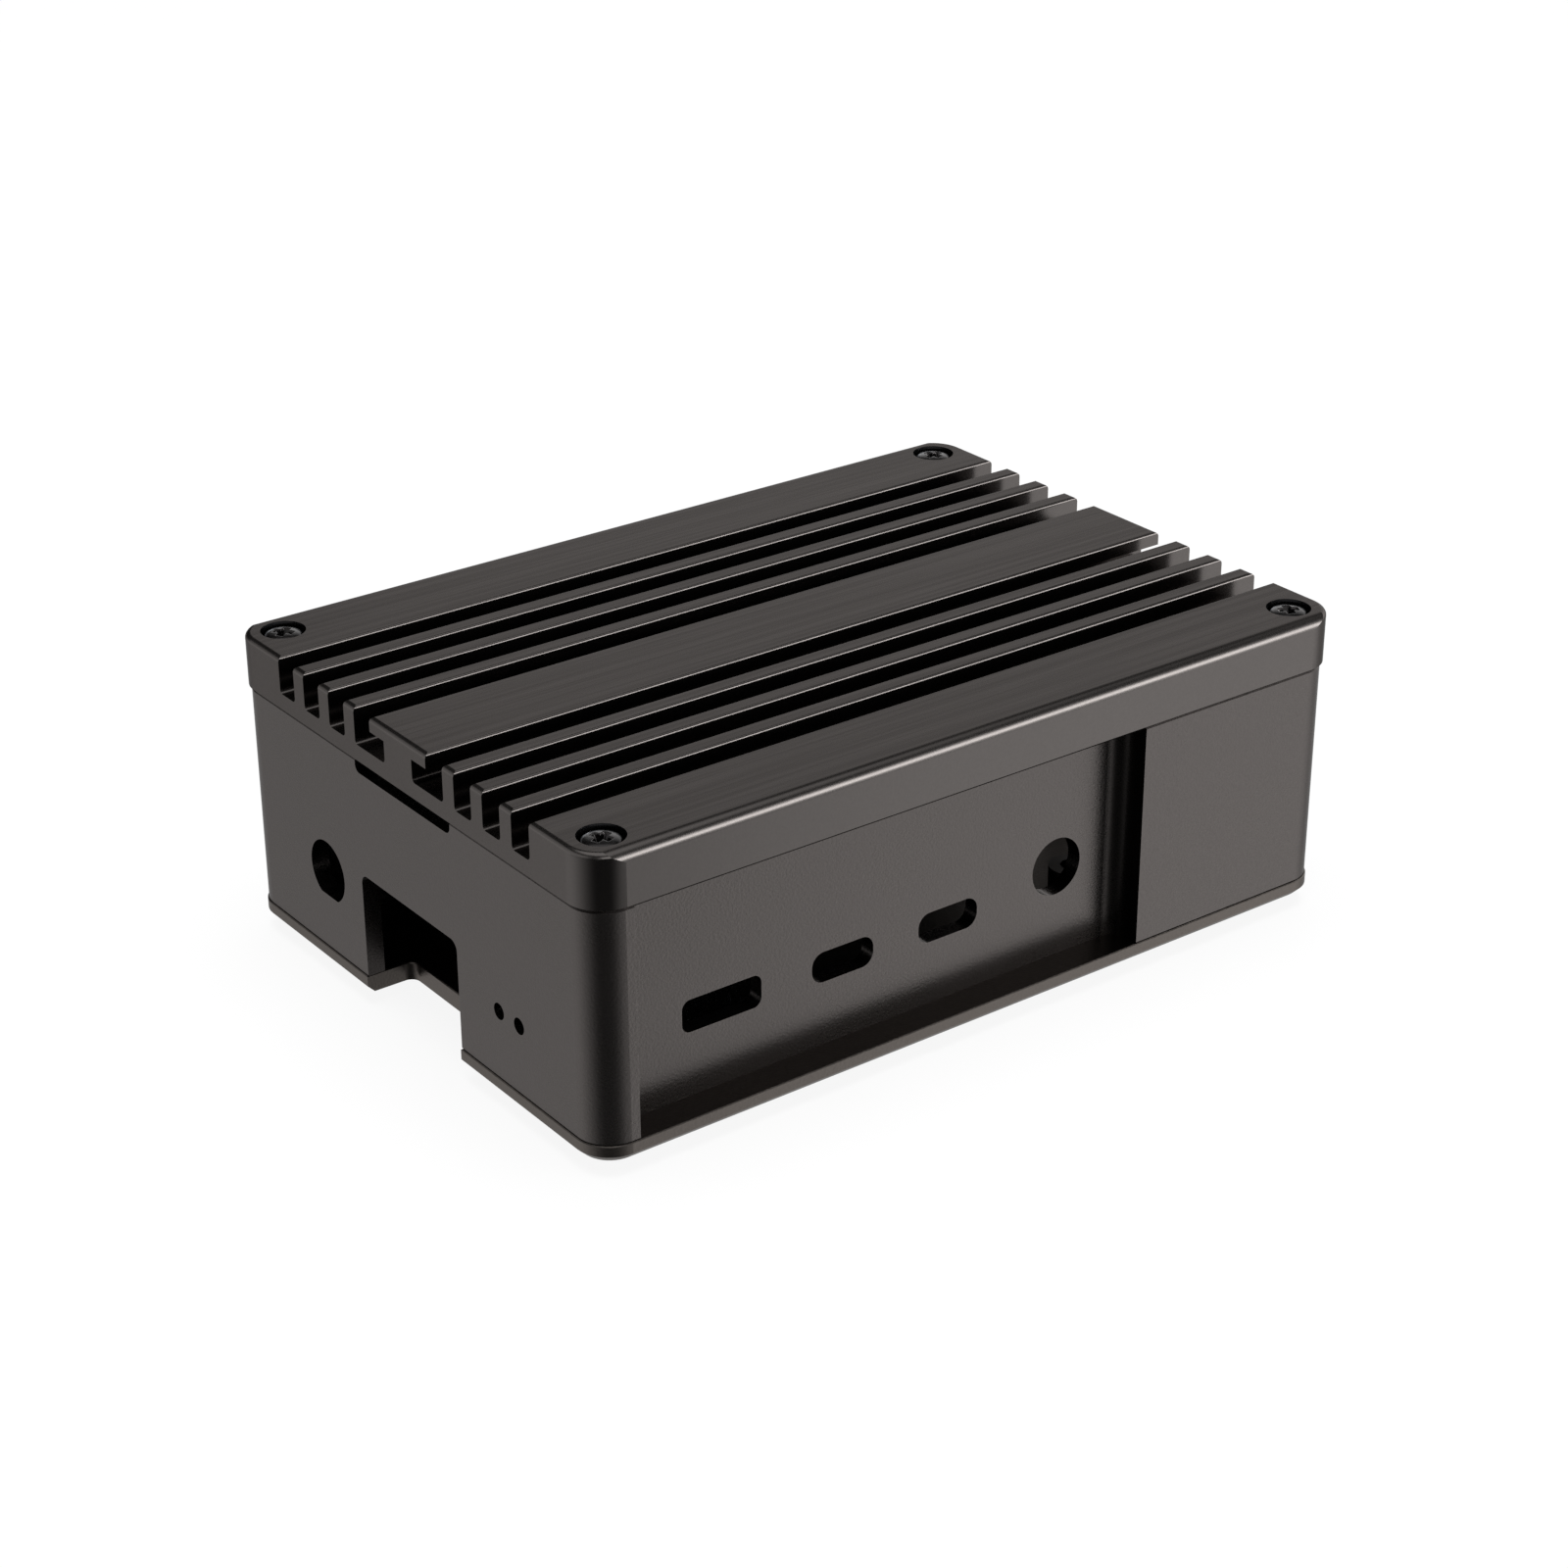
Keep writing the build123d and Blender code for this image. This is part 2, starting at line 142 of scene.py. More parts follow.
@dataclass(frozen=True)
class Graph:
    """The node tree of one material or world, and the one way in which its nodes are made.

    Args:
        tree: Blender's node tree.
    """

    tree: bpy.types.NodeTree

    def node(
        self, kind: str, settings: Mapping[str, object] = NOTHING, inputs: Mapping = NOTHING
    ) -> bpy.types.Node:
        """Adds one node.

        Args:
            kind: Blender's type of the node.
            settings: the node's own settings, which are set before its sockets.
            inputs: numbers, colours or links by the name or the place of their socket.

        Returns:
            The new node.
        """
        node = self.tree.nodes.new(kind)
        for name, setting in settings.items():
            setattr(node, name, setting)
        for key, item in inputs.items():
            self.feed(node.inputs[key], item)
        return node

    def feed(self, socket: bpy.types.NodeSocket, item: object) -> None:
        """Gives an input socket its number, colour or link.

        Args:
            socket: the input.
            item: a number or colour, or the value or output socket to link.
        """
        source = item.socket if isinstance(item, Value) else item
        if isinstance(source, bpy.types.NodeSocket):
            self.tree.links.new(source, socket)
        else:
            socket.default_value = source

    def value(
        self, kind: str, settings: Mapping[str, object], inputs: Mapping, output: Union[str, int] = 0
    ) -> Value:
        """Adds one node and gives one of its outputs as a value.

        Args:
            kind: Blender's type of the node.
            settings: the node's own settings.
            inputs: numbers, colours or links by socket.
            output: the name or the place of the output.

        Returns:
            The output.
        """
        return Value(self, self.node(kind, settings, inputs).outputs[output])

    def axes(self, vector: bpy.types.NodeSocket) -> tuple[Value, Value, Value]:
        """Splits a vector.

        Args:
            vector: the socket that holds it.

        Returns:
            Its three parts.
        """
        node = self.node("ShaderNodeSeparateXYZ", inputs={"Vector": vector})
        return tuple(Value(self, node.outputs[axis]) for axis in "XYZ")

    def place(self, pitch: Sequence[float] = (1.0, 1.0, 1.0)) -> bpy.types.NodeSocket:
        """The place on the object, counted in pitches along each axis.

        Args:
            pitch: the length of one pitch along X, Y and Z, in metres.

        Returns:
            The socket that holds it.
        """
        coordinates = self.node("ShaderNodeTexCoord").outputs["Object"]
        scale = tuple(1.0 / length for length in pitch)
        settings = {"operation": "MULTIPLY"}
        return self.node("ShaderNodeVectorMath", settings, {0: coordinates, 1: scale}).outputs[0]

    def noise(self, pitch: Sequence[float], detail: float = 2.0, roughness: float = 0.5) -> Value:
        """Soft noise from 0 to 1.

        Args:
            pitch: the length of its grain along X, Y and Z, in metres.
            detail: how many finer layers it has.
            roughness: how strong the finer layers are.

        Returns:
            The noise.
        """
        inputs = {"Vector": self.place(pitch), "Scale": 1.0, "Detail": detail, "Roughness": roughness}
        return self.value("ShaderNodeTexNoise", {"noise_dimensions": "3D"}, inputs)

    def blend(self, share: Operand, first: Tint, second: Tint) -> bpy.types.NodeSocket:
        """Mixes two colours.

        Args:
            share: how much of the second colour there is, from 0 to 1.
            first: the first colour, or the socket that holds it.
            second: the second colour, or its socket.

        Returns:
            The socket of the mixed colour.
        """
        first, second = ((*tint, 1.0) if isinstance(tint, tuple) else tint for tint in (first, second))
        inputs = {"Factor_Float": share, "A_Color": first, "B_Color": second}
        node = self.node("ShaderNodeMix", {"data_type": "RGBA"})
        for socket in node.inputs:
            if socket.identifier in inputs:
                self.feed(socket, inputs[socket.identifier])
        return next(socket for socket in node.outputs if socket.identifier == "Result_Color")

    def surface(self, inputs: Mapping, height: Value, strength: float, depth: float) -> None:
        """Ends a material with one shader that has a fine relief.

        Args:
            inputs: the shader's inputs apart from its normal.
            height: the relief's height from 0 to 1.
            strength: how strongly it turns the light.
            depth: how high it is, in metres.
        """
        relief = {"Height": height, "Strength": strength, "Distance": depth}
        bump = self.node("ShaderNodeBump", inputs=relief).outputs["Normal"]
        shader = self.node("ShaderNodeBsdfPrincipled", inputs={**inputs, "Normal": bump}).outputs[0]
        self.node("ShaderNodeOutputMaterial", inputs={"Surface": shader})

    def along(self, axis: str) -> Value:
        """How far a point lies along the object's X, Y or Z, in metres."""
        return self.axes(self.node("ShaderNodeTexCoord").outputs["Object"])["XYZ".index(axis)]

    def facing(self, axis: str) -> Value:
        """How much of a face's direction goes along X, Y or Z, from -1 to 1."""
        return self.axes(self.node("ShaderNodeNewGeometry").outputs["Normal"])["XYZ".index(axis)]


def fresh_material(name: str) -> tuple[bpy.types.Material, Graph]:
    """Makes an empty material.

    Args:
        name: the material's name.

    Returns:
        The material and its graph.
    """
    material = bpy.data.materials.new(name)
    material.use_nodes = True
    material.node_tree.nodes.clear()
    return material, Graph(material.node_tree)


class Grain(Enum):
    """How a metal skin was worked before it was coloured."""

    BLASTED = "blasted"
    BRUSHED = "brushed"
    TURNED = "turned"


@dataclass(frozen=True)
class EdgeWearAndHighlight:
    """Patchy paler edges of a piece, partly rubbed metal and partly a painted highlight along the edges.

    Lengths are in metres.

    Args:
        width: how far the paler edge reaches from an edge.
        samples: how many rays look for the edge.
        turn: the agreement of the face's direction with its surroundings at which the paler edge begins and is
            full.
        patch: the length of one patch.
        patches: the noise level at which a patch begins and is full.
    """

    width: float
    samples: int = 4
    turn: Span = (0.995, 0.90)
    patch: float = 0.0011
    patches: Span = (0.35, 0.6)

    def mask(self, graph: Graph) -> Value:
        """Finds the paler edges.

        Args:
            graph: the material's graph.

        Returns:
            1 on a paler edge and 0 on a flat face.
        """
        rounded = graph.node("ShaderNodeBevel", {"samples": self.samples}, {"Radius": self.width}).outputs["Normal"]
        normal = graph.node("ShaderNodeNewGeometry").outputs["Normal"]
        inputs = {0: rounded, 1: normal}
        agreement = graph.value("ShaderNodeVectorMath", {"operation": "DOT_PRODUCT"}, inputs, "Value")
        worn_and_lit_edges = graph.noise((self.patch,) * 3, detail=3.0, roughness=0.6)
        # Paler edges: rubbed metal in patches, and a painted highlight along the edges.
        return agreement.step(*self.turn) * worn_and_lit_edges.step(*self.patches)


@dataclass(frozen=True)
class PaintedShading:
    """Painted shading: faces that look one way made lighter or darker, standing in for the light and shade that
    fall on them.

    Args:
        axis: X, Y or Z, the part of the face's direction that counts.
        span: the part at which the change begins, and the part at which it is full.
        share: how much of the colour is left there.
        within: an axis and how far from the middle the change reaches along it, in metres.
    """

    axis: str
    span: Span
    share: float
    within: Optional[tuple[str, float]] = None

    def factor(self, graph: Graph) -> Value:
        """Works out the change.

        Args:
            graph: the material's graph.

        Returns:
            The factor of the colour.
        """
        mask = graph.facing(self.axis).step(*self.span)
        if self.within:
            axis, reach = self.within
            mask = mask * abs(graph.along(axis)).step(reach * SOFT_RIM, reach)
        return mask * (self.share - 1.0) + 1.0


@dataclass(frozen=True)
class WellSheen:
    """The sunk screw holes of a lid, whose walls get a paler painted sheen, standing in for the light that they
    mirror.

    Lengths are in metres.

    Args:
        place: the distances of a hole's axis from the lid's middle along X and Y, the same for all four.
        radius: how far the painted sheen reaches from the axis.
        colour: the painted sheen's colour on the wall.
        upright: the part of a face's direction along Z at which a wall begins and is full.
    """

    place: Span
    radius: float
    # Painted sheen: a paler colour on the upright walls of the screw holes.
    colour: Colour = (0.26, 0.27, 0.285)
    upright: Span = (0.4, 0.1)

    def mask(self, graph: Graph) -> Value:
        """Finds the walls.

        Args:
            graph: the material's graph.

        Returns:
            1 on an upright wall near a hole's axis, and 0 elsewhere.
        """
        across, along = abs(graph.along("X")) - self.place[0], abs(graph.along("Y")) - self.place[1]
        near = (across * across + along * along) ** 0.5
        return near.step(self.radius * SOFT_RIM, self.radius) * abs(graph.facing("Z")).step(*self.upright)


@dataclass(frozen=True)
class AnodisedFinish:
    """Black anodised aluminium.

    Lengths are in metres.

    Args:
        name: the material's name.
        colour: the metal's colour straight on.
        painted_shadings: painted shading, which makes faces lighter or darker by the way they look.
        grazing_share: how much of a bare metal's shine it has along a face; the dye takes the rest.
        roughness: how far it spreads a reflection.
        upright_polish: how much less its upright faces spread it.
        upright: the part of a face's direction along Z at which an upright face begins and is full.
        level: the part of it at which a level upper face begins and is full.
        grain: how the skin was worked.
        grain_pitch: the length of one grain of the blasted skin.
        streak_pitch: the width of one brushed streak or turned ring.
        streak_run: the length of one brushed streak.
        streak_span: the noise level at which a streak begins and is full.
        ring_run: how far a turned ring keeps its height.
        grain_depth: the height of the grain.
        grain_strength: how strongly the grain turns the light.
        colour_swing: how much the grain changes the colour, as a share of it.
        cloud_pitch: the length of one slow cloud along X, Y and Z.
        cloud_share: how strong the clouds are beside the grain.
        speck_pitch: the length of one fleck of gloss.
        roughness_swing: how much the roughness wanders over the piece.
        edge_width: how far the paler edge reaches from an edge.
        edge_wear_and_highlight: how much paler an edge is, as a share of the colour, partly rubbed metal and partly
            a painted highlight.
        well_sheen: the sunk screw holes, whose walls get a painted sheen.
    """

    name: str
    colour: Colour = (0.112, 0.102, 0.098)
    painted_shadings: tuple[PaintedShading, ...] = ()
    grazing_share: float = 0.6
    roughness: float = 0.3
    upright_polish: float = 0.0
    upright: Span = (0.2, 0.02)
    level: Span = (0.97, 0.995)
    grain: Grain = Grain.BLASTED
    grain_pitch: float = 0.00028
    streak_pitch: float = 0.0005
    streak_run: float = 0.04
    streak_span: Span = (0.3, 0.7)
    ring_run: float = 0.02
    grain_depth: float = 0.000023
    grain_strength: float = 0.9
    colour_swing: float = 0.10
    cloud_pitch: Point = (0.011, 0.009, 0.009)
    cloud_share: float = 0.5
    speck_pitch: float = 0.0003
    roughness_swing: float = 0.04
    edge_width: float = 0.00022
    edge_wear_and_highlight: float = 0.25
    well_sheen: Optional[WellSheen] = None

    def grain_noise(self, graph: Graph) -> Value:
        """Draws the worked skin.

        Args:
            graph: the material's graph.

        Returns:
            The grain's height from 0 to 1.
        """
        blasted = graph.noise((self.grain_pitch,) * 3, detail=3.0, roughness=0.6)
        if self.grain is Grain.BLASTED:
            return blasted
        if self.grain is Grain.TURNED:
            return graph.noise((self.ring_run, self.ring_run, self.streak_pitch))
        pitch = (self.streak_run, self.streak_pitch, self.streak_pitch)
        streaks = graph.noise(pitch, detail=3.0, roughness=0.6).step(*self.streak_span)
        return blasted + (streaks - blasted) * graph.facing("Z").step(*self.level)

    def material(self) -> bpy.types.Material:
        """Builds the metal.

        Returns:
            The finished material.
        """
        material, graph = fresh_material(self.name)
        grain = self.grain_noise(graph)
        cloud = graph.noise(self.cloud_pitch)
        # Paler edges: partly rubbed metal, partly a painted highlight along the edges.
        wear_and_highlight = self.edge_wear_and_highlight / self.colour_swing
        worn_and_lit_edges = EdgeWearAndHighlight(self.edge_width).mask(graph) * wear_and_highlight
        shade = (grain - 0.5) * 2.0 + (cloud - 0.5) * self.cloud_share + worn_and_lit_edges
        reach = 1.0 + wear_and_highlight
        dark = tuple(part * (1.0 - self.colour_swing) for part in self.colour)
        pale = tuple(part * (1.0 + self.colour_swing * reach) for part in self.colour)
        skin = graph.blend((shade + 1.0) / (1.0 + reach), dark, pale)
        # Painted shading: faces made lighter or darker by the way they look.
        for painted_shading in self.painted_shadings:
            inputs = {0: skin, "Scale": painted_shading.factor(graph)}
            skin = graph.node("ShaderNodeVectorMath", {"operation": "SCALE"}, inputs).outputs[0]
        # Painted sheen on the walls of the sunk screw holes.
        if self.well_sheen:
            skin = graph.blend(self.well_sheen.mask(graph), skin, self.well_sheen.colour)
        speck = graph.noise((self.speck_pitch,) * 3, detail=1.0)
        roughness = (cloud - 0.5 + speck - 0.5) * self.roughness_swing + self.roughness
        if self.upright_polish:
            roughness = roughness - abs(graph.facing("Z")).step(*self.upright) * self.upright_polish
        inputs = {"Base Color": skin, "Metallic": 1.0, "Roughness": roughness}
        inputs["Specular Tint"] = (self.grazing_share,) * 3 + (1.0,)
        graph.surface(inputs, grain, self.grain_strength, self.grain_depth)
        return material


@dataclass(frozen=True)
class SteelFinish:
    """Black oxidised steel.

    Args:
        name: the material's name.
        colour: the metal's colour straight on.
        bare_and_glint_colour: the colour of the rubbed marks, and of the paler edges, which are partly rubbed by
            the driver and partly a painted glint.
        roughness: how far it spreads a reflection.
        roughness_swing: how much the marks change that.
        pitch: the length of one mark, in metres.
        depth: the height of the marks, in metres.
        strength: how strongly the marks turn the light.
        mark_span: the noise level at which a mark is rubbed first, and fully.
        mark_share: how bare a rubbed mark is.
        edge_width: how far the paler edge reaches from an edge, in metres.
        edge_share: how pale an edge is, partly rubbed by the driver and partly a painted glint.
    """

    name: str
    colour: Colour = (0.058, 0.055, 0.055)
    bare_and_glint_colour: Colour = (0.38, 0.38, 0.38)
    roughness: float = 0.24
    roughness_swing: float = 0.2
    pitch: float = 0.00035
    depth: float = 0.00001
    strength: float = 0.2
    mark_span: Span = (0.55, 0.8)
    mark_share: float = 0.05
    edge_width: float = 0.00009
    edge_share: float = 0.25

    def material(self) -> bpy.types.Material:
        """Builds the metal.

        Returns:
            The finished material.
        """
        material, graph = fresh_material(self.name)
        marks = graph.noise((self.pitch,) * 3, detail=4.0, roughness=0.6)
        # Paler edges: partly rubbed by the driver, partly a painted glint along the head's edges.
        worn_and_lit_edges = EdgeWearAndHighlight(self.edge_width).mask(graph) * self.edge_share
        skin = graph.blend(marks.step(*self.mark_span) * self.mark_share + worn_and_lit_edges, self.colour, self.bare_and_glint_colour)
        roughness = (marks - 0.5) * self.roughness_swing + self.roughness
        inputs = {"Base Color": skin, "Metallic": 1.0, "Roughness": roughness}
        graph.surface(inputs, marks, self.strength, self.depth)
        return material


@dataclass(frozen=True)
class SoftFinish:
    """Rubber or silicone.

    Args:
        name: the material's name.
        colour: the main colour.
        second_colour: the colour of its fine mottling.
        roughness: how far it spreads a reflection.
        roughness_swing: how much dust changes that.
        pitch: the length of one mottle, in metres.
        mottle_span: the noise level at which the second colour begins and is full.
        dust_pitch: the length of one dusty patch, in metres.
        depth: the height of the mottling, in metres.
        strength: how strongly the mottling turns the light.
    """

    name: str
    colour: Colour
    second_colour: Colour
    roughness: float = 0.7
    roughness_swing: float = 0.25
    pitch: float = 0.0004
    mottle_span: Span = (0.35, 0.65)
    dust_pitch: float = 0.003
    depth: float = 0.00002
    strength: float = 0.4

    def material(self) -> bpy.types.Material:
        """Builds the rubber.

        Returns:
            The finished material.
        """
        material, graph = fresh_material(self.name)
        mottle = graph.noise((self.pitch,) * 3, detail=4.0, roughness=0.65)
        dust = graph.noise((self.dust_pitch,) * 3, detail=3.0)
        skin = graph.blend(mottle.step(*self.mottle_span), self.colour, self.second_colour)
        roughness = (dust - 0.5) * self.roughness_swing + self.roughness
        graph.surface({"Base Color": skin, "Roughness": roughness}, mottle, self.strength, self.depth)
        return material


@dataclass
class Dressed:
    """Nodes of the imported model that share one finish.

    Args:
        nodes: the names of the nodes.
        finish: their finish.
    """

    nodes: tuple[str, ...]
    finish: Union[AnodisedFinish, SteelFinish, SoftFinish]

    def build(self) -> list[bpy.types.Object]:
        """Gives the nodes their finish.

        Returns:
            The nodes' objects.
        """
        material = self.finish.material()
        objects = [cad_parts[name] for name in self.nodes]
        for name, node in zip(self.nodes, objects):
            for slot in node.material_slots:
                slot.link = "OBJECT"
                slot.material = material
            log.info("%s: %s", name, material.name)
        return objects


@dataclass
class FinnedCover(Dressed):
    """The heat-sink lid with its lengthwise fins."""

    nodes: tuple[str, ...] = ("top_cover",)
    finish: AnodisedFinish = AnodisedFinish(
        "brushed_black_cover",
        colour=(0.111, 0.102, 0.098),
        # Painted light: the sloped and rounded faces 1.3 times lighter than the level tops and the walls.
        painted_shadings=(PaintedShading("Z", (0.10, 0.35), 1.3), PaintedShading("Z", (0.90, 0.97), 1.0 / 1.3)),
        grazing_share=0.45,
        roughness=0.27,
        upright_polish=0.08,
        grain=Grain.BRUSHED,
        grain_depth=0.000006,
        grain_strength=0.38,
        # Paler edges, partly rubbed metal and partly a painted highlight.
        edge_wear_and_highlight=0.10,
        # Painted sheen on the walls of the screw holes.
        well_sheen=WellSheen((0.044, 0.0298), 0.00243),
    )


@dataclass
class BodyFrame(Dressed):
    """The wall of the case with its port recess."""

    nodes: tuple[str, ...] = ("body_frame",)
    finish: AnodisedFinish = AnodisedFinish(
        "blasted_black_frame",
        # Painted shade: the faces that look to -X within 40 mm of the middle, as the port recess's step wall,
        # darkened to 0.4, and the faces that look to -Y within 28 mm of the middle darkened to 0.4.
        painted_shadings=(PaintedShading("X", (-0.15, -0.6), 0.4, ("X", 0.04)), PaintedShading("Y", (-0.5, -0.9), 0.4, ("Y", 0.028))),
        roughness=0.28,
    )


@dataclass
class BasePlate(Dressed):
    """The plate under the case."""

    nodes: tuple[str, ...] = ("base_plate",)
    finish: AnodisedFinish = AnodisedFinish(
        "blasted_black_base",
        colour=(0.130, 0.116, 0.106),
        # Painted shade: the level upper faces, such as the ledge in the port recess, darkened to 0.42, and the
        # faces that look to -Y within 28 mm of the middle darkened to 0.6.
        painted_shadings=(PaintedShading("Z", (0.97, 0.995), 0.42), PaintedShading("Y", (-0.5, -0.9), 0.6, ("Y", 0.028))),
        roughness=0.32,
    )


@dataclass
class CoverScrews:
    """The four crowned screws of the lid, which stand for their plainer node.

    Lengths are in metres.

    Args:
        node: the node that they stand for.
        lid: the node whose top they are sunk under.
        slot: their material slot; not used.
        finish: their finish.
        head_radius: the radius of a head.
        node_head_radius: the radius of the node's heads, which gives the place of their axes.
        head_height: the height from the crown's top to the shank.
        crown: how far the crown falls to its rim.
        crown_power: how flat the crown is in its middle.
        sink: how far the crown's top lies under the lid's.
        cross_reach: how far the cross recess reaches from the axis.
        cross_width: half the width of an arm's floor.
        cross_wall: the width of an arm's sloped wall.
        cross_slope: the share of an arm's length over which its floor rises.
        cross_depth: the depth of the recess.
        turns: the turn of each screw's cross, in degrees.
        thread_pitch: the pitch of the thread.
        thread_radius: its outer radius.
        thread_core: its inner radius.
        segments: the points of a ring.
        head_rings: the rings of a crown.
        thread_rings: the rings of a shank.
    """

    node: str = "cover_screws"
    lid: str = "top_cover"
    slot: str = "cover_screw_steel"
    finish: SteelFinish = SteelFinish("black_oxide_cover_screws")
    head_radius: float = 0.00196
    node_head_radius: float = 0.0019
    head_height: float = 0.00193
    crown: float = 0.00042
    crown_power: float = 2.4
    sink: float = 0.00014
    cross_reach: float = 0.00114
    cross_width: float = 0.00027
    cross_wall: float = 0.00018
    cross_slope: float = 0.6
    cross_depth: float = 0.0013
    turns: tuple[float, ...] = (22.0, 64.0, 38.0, 10.0)
    thread_pitch: float = 0.00045
    thread_radius: float = 0.00089
    thread_core: float = 0.00072
    segments: int = 120
    head_rings: int = 60
    thread_rings: int = 110

    def recess(self, x: float, y: float) -> float:
        """Gives the depth of the cross recess.

        Args:
            x: a place on the head along one arm.
            y: the place along the other arm.

        Returns:
            The depth there.
        """
        deepest = 0.0
        for along, across in ((abs(x), abs(y)), (abs(y), abs(x))):
            side = (self.cross_width + self.cross_wall - across) / self.cross_wall
            end = (self.cross_reach - along) / (self.cross_slope * self.cross_reach)
            deepest = max(deepest, min(1.0, max(0.0, side)) * min(1.0, max(0.0, end)))
        return deepest * self.cross_depth

    def ring(self, radius: float, height: float, turn: float) -> list[Point]:
        """Makes one ring of the head's crown.

        Args:
            radius: the ring's radius.
            height: its height before the cross recess is cut.
            turn: the turn of the cross, in radians.

        Returns:
            The ring's points.
        """
        points = []
        for place in range(self.segments):
            angle = 2 * math.pi * place / self.segments
            x, y = radius * math.cos(angle), radius * math.sin(angle)
            depth = self.recess(radius * math.cos(angle - turn), radius * math.sin(angle - turn))
            points.append((x, y, height - depth))
        return points

    def thread(self, top: float, length: float) -> list[list[Point]]:
        """Makes the rings of the threaded shank, from its top down.

        Args:
            top: the height of the shank's top.
            length: the shank's length.

        Returns:
            The rings.
        """
        rings = []
        for step in range(self.thread_rings + 1):
            height = top - length * step / self.thread_rings
            points = []
            for place in range(self.segments):
                angle = 2 * math.pi * place / self.segments
                phase = (height / self.thread_pitch - place / self.segments) % 1.0
                radius = self.thread_core + (self.thread_radius - self.thread_core) * abs(2 * phase - 1)
                points.append((radius * math.cos(angle), radius * math.sin(angle), height))
            rings.append(points)
        return rings

    def mesh(self, name: str, turn: float, length: float) -> bpy.types.Mesh:
        """Builds one screw, with its crown's top at height zero.

        Args:
            name: the mesh's name.
            turn: the turn of its cross, in radians.
            length: the length under its head.

        Returns:
            The mesh.
        """
        rings = []
        for step in range(1, self.head_rings + 1):
            share = math.sin(0.5 * math.pi * step / self.head_rings)
            radius = self.head_radius * share
            drop = self.crown * (1.0 - math.sqrt(max(0.0, 1.0 - share**self.crown_power)))
            rings.append(self.ring(radius, -drop, turn))
        rings.append(self.ring(self.head_radius, -self.head_height, turn))
        rings.extend(self.thread(-self.head_height, length))
        points = [(0.0, 0.0, -self.recess(0.0, 0.0))] + [point for ring in rings for point in ring]
        points.append((0.0, 0.0, -self.head_height - length))
        count = self.segments
        faces = [(0, 1 + place, 1 + (place + 1) % count) for place in range(count)]
        for step in range(len(rings) - 1):
            first, second = 1 + step * count, 1 + (step + 1) * count
            for place in range(count):
                after = (place + 1) % count
                faces.append((first + place, second + place, second + after, first + after))
        last = 1 + (len(rings) - 1) * count
        faces.extend((last + (place + 1) % count, last + place, len(points) - 1) for place in range(count))
        mesh = bpy.data.meshes.new(name)
        mesh.from_pydata(points, [], faces)
        mesh.polygons.foreach_set("use_smooth", [True] * len(faces))
        return mesh

    def build(self) -> list[bpy.types.Object]:
        """Builds the four screws in the lid's sunk holes.

        Returns:
            The screws.
        """
        material = self.finish.material()
        low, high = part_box(self.node)
        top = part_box(self.lid)[1][2] - self.sink
        screws = []
        for place, turn in enumerate(self.turns):
            name = f"cover_screw_{place + 1}"
            mesh = self.mesh(name, math.radians(turn), top - self.head_height - low[2])
            mesh.materials.append(material)
            screw = bpy.data.objects.new(name, mesh)
            bpy.context.scene.collection.objects.link(screw)
            inset = self.node_head_radius
            x = high[0] - inset if place % 2 else low[0] + inset
            y = high[1] - inset if place // 2 else low[1] + inset
            screw.location = (x, y, top)
            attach(screw, "root")
            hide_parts(self.node)
            log.info("%s: %s", name, material.name)
            screws.append(screw)
        return screws


@dataclass
class BaseScrews(Dressed):
    """The countersunk screws that hold the plate."""

    nodes: tuple[str, ...] = ("base_screws",)
    finish: SteelFinish = SteelFinish("black_oxide_base_screws")


@dataclass
class BoardStandoffs(Dressed):
    """The four posts that carry the board."""

    nodes: tuple[str, ...] = ("standoff_1", "standoff_2", "standoff_3", "standoff_4")
    finish: AnodisedFinish = AnodisedFinish(
        "turned_black_standoffs", colour=(0.06, 0.057, 0.055), grain=Grain.TURNED
    )


@dataclass
class RubberFeet(Dressed):
    """The four round feet."""

    nodes: tuple[str, ...] = ("foot_1", "foot_2", "foot_3", "foot_4")
    finish: SoftFinish = SoftFinish("black_rubber_feet", (0.022, 0.022, 0.023), (0.034, 0.033, 0.033))


@dataclass
class HeatPads(Dressed):
    """The soft pads between the chips and the lid's posts."""

    nodes: tuple[str, ...] = ("processor_pad", "memory_pad", "controller_pad")
    finish: SoftFinish = SoftFinish(
        "grey_blue_heat_pads", (0.36, 0.46, 0.56), (0.44, 0.54, 0.63), roughness=0.55, pitch=0.0003
    )


